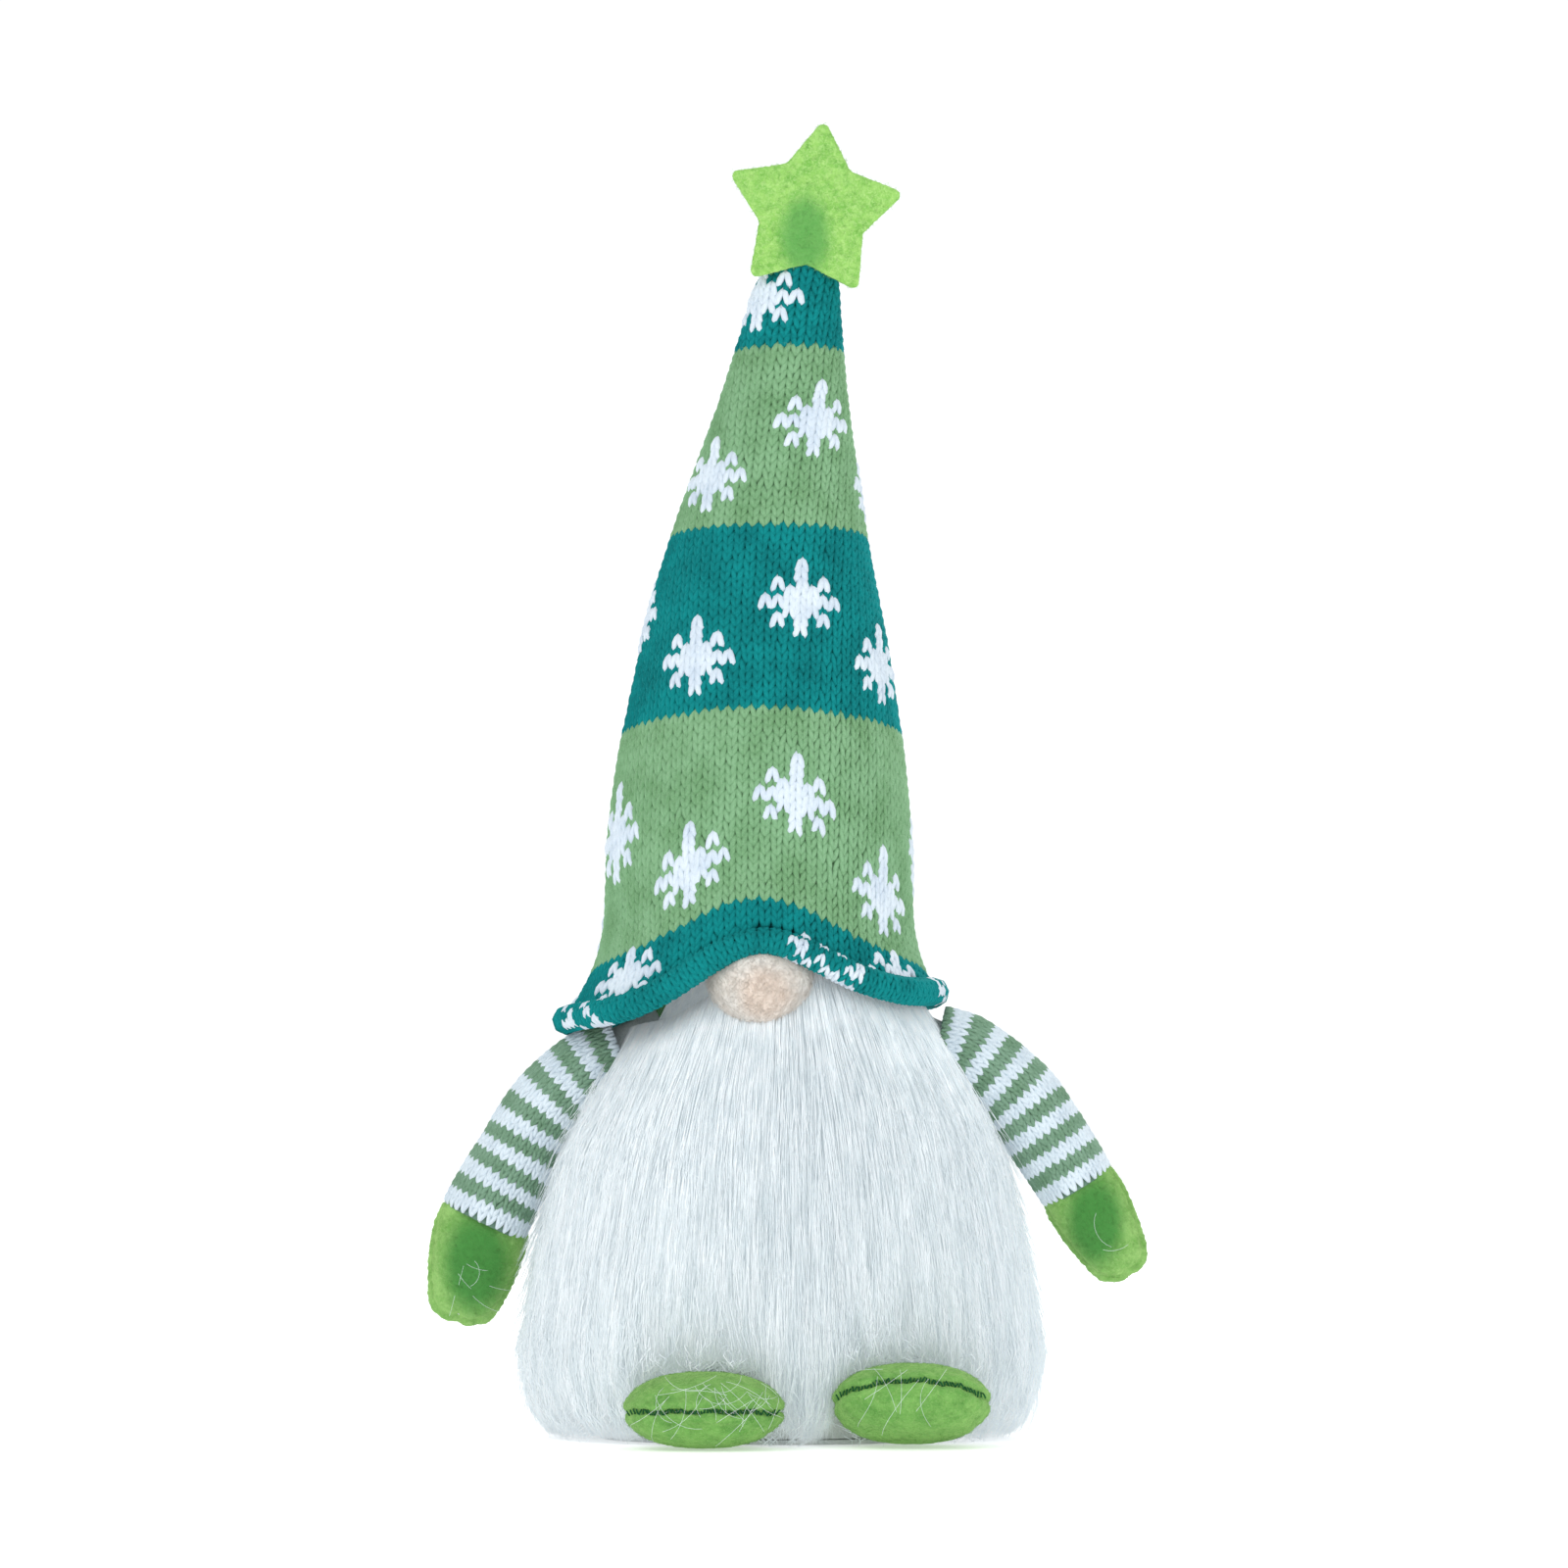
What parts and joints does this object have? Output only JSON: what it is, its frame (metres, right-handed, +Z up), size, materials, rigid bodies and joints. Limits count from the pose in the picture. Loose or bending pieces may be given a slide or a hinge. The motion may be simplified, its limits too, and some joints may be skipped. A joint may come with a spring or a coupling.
{
  "type": "tomte gnome figurine",
  "caption": "Stuffed standing gnome with a tall knitted snowflake hat, felt star, ball nose, long white fur beard, striped arms with felt mittens and soft felt shoes.",
  "frame": {"origin": "centre of the flat base panel, on the surface that the gnome stands on", "axes": "+Z up, -Y the front with nose and shoes, +X to the right of a viewer who faces the front"},
  "size_m": [0.223, 0.1746, 0.4126],
  "materials": {
    "hat_knit": "matte",
    "brim_wire": "satin",
    "star_felt": "matte",
    "glove_felt": "matte",
    "shoe_felt": "matte",
    "sleeve_knit": "matte",
    "fur": "matte",
    "fleece": "matte",
    "nose_felt": "matte",
    "stuffing": "matte",
    "card": "matte",
    "pellets": "satin",
    "thread": "matte"
  },
  "bodies": {
    "torso": {"base_panel": "fleece", "base_board": "card", "ballast_bag": "fleece", "ballast_pellets": "pellets", "body_cover": "fleece", "body_filling": "stuffing", "beard_backing": "fleece", "beard_pile": "fur", "nose": "nose_felt", "hat_lower": "hat_knit", "hat_hem": "hat_knit", "brim_wire": "brim_wire", "hat_filling_lower": "stuffing", "arm_tab_left": "fleece", "arm_tab_right": "fleece", "ankle_left": "fleece", "ankle_right": "fleece"},
    "hat_top": {"hat_cone": "hat_knit", "hat_filling_upper": "stuffing", "tip_tie": "thread", "star_front": "star_felt", "star_back": "star_felt"},
    "shoulder_left": {"sleeve_head_left": "sleeve_knit"},
    "arm_left": {"sleeve_left": "sleeve_knit", "arm_filling_left": "stuffing", "mitten_front_left": "glove_felt", "mitten_back_left": "glove_felt"},
    "foot_left": {"shoe_upper_left": "shoe_felt", "shoe_sole_left": "shoe_felt", "shoe_filling_left": "stuffing", "seam_thread_left": "thread"},
    "shoulder_right": {"sleeve_head_right": "sleeve_knit"},
    "arm_right": {"sleeve_right": "sleeve_knit", "arm_filling_right": "stuffing", "mitten_front_right": "glove_felt", "mitten_back_right": "glove_felt"},
    "foot_right": {"shoe_upper_right": "shoe_felt", "shoe_sole_right": "shoe_felt", "shoe_filling_right": "stuffing", "seam_thread_right": "thread"}
  },
  "joints": [
    {"name": "hat_lean", "type": "hinge", "parent": "torso", "child": "hat_top", "pos_m": [-0.0065, 0, 0.2], "axis": [0, 1, 0], "range_deg": [-20, 20], "stiffness_Nm_per_rad": 0.15},
    {"name": "shoulder_swing_left", "type": "hinge", "parent": "torso", "child": "shoulder_left", "pos_m": [-0.05, 0, 0.119], "axis": [-0.908, 0, -0.4191], "range_deg": [-20, 45]},
    {"name": "arm_raise_left", "type": "hinge", "parent": "shoulder_left", "child": "arm_left", "pos_m": [-0.063, 0, 0.113], "axis": [0, 1, 0], "range_deg": [0, 30]},
    {"name": "shoulder_swing_right", "type": "hinge", "parent": "torso", "child": "shoulder_right", "pos_m": [0.05, 0, 0.12], "axis": [-0.9162, 0, 0.4008], "range_deg": [-20, 45]},
    {"name": "arm_raise_right", "type": "hinge", "parent": "shoulder_right", "child": "arm_right", "pos_m": [0.066, 0, 0.113], "axis": [0, -1, 0], "range_deg": [0, 30]},
    {"name": "toe_lift_left", "type": "hinge", "parent": "torso", "child": "foot_left", "pos_m": [-0.024, -0.07091, 0.009], "axis": [-1, 0, 0], "range_deg": [0, 25], "stiffness_Nm_per_rad": 0.03},
    {"name": "toe_lift_right", "type": "hinge", "parent": "torso", "child": "foot_right", "pos_m": [0.0406, -0.06154, 0.0072], "axis": [-1, 0, 0], "range_deg": [-3, 13], "stiffness_Nm_per_rad": 0.03}
  ]
}
